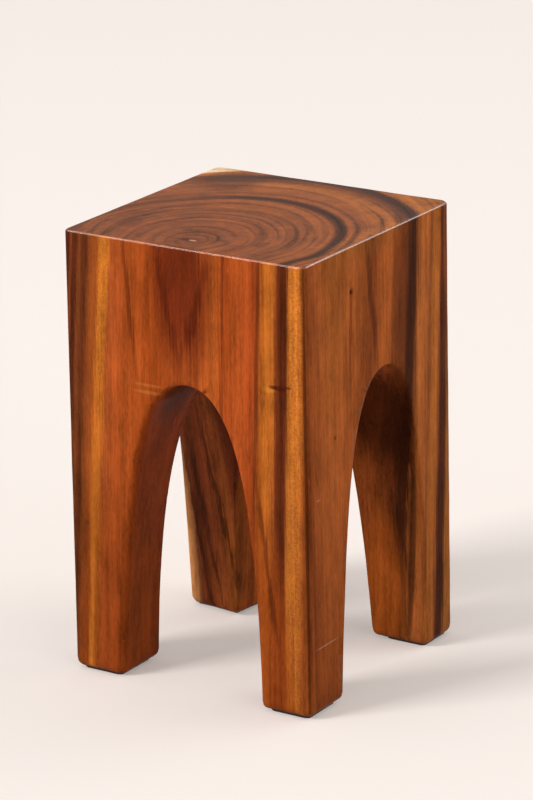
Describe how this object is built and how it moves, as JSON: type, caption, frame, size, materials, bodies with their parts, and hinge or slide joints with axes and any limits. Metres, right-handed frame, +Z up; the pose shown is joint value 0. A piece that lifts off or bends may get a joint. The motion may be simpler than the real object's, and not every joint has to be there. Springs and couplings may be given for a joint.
{
  "type": "side table",
  "caption": "Square side table carved from a solid log, end grain on top, with an arch cut in from each side that leaves a leg at every corner, standing on felt pads.",
  "frame": {"origin": "on the floor, under the middle of the table's box", "axes": "+Z up, +X to the right along the front face, +Y from the front face to the rear face"},
  "size_m": [0.306, 0.302, 0.5],
  "materials": {
    "timber": "satin lacquer over reddish heartwood",
    "felt": "pressed wool felt"
  },
  "bodies": {
    "root": {"carved_block": "timber", "felt_pad_front_left": "felt", "felt_pad_front_right": "felt", "felt_pad_rear_left": "felt", "felt_pad_rear_right": "felt"}
  },
  "joints": []
}
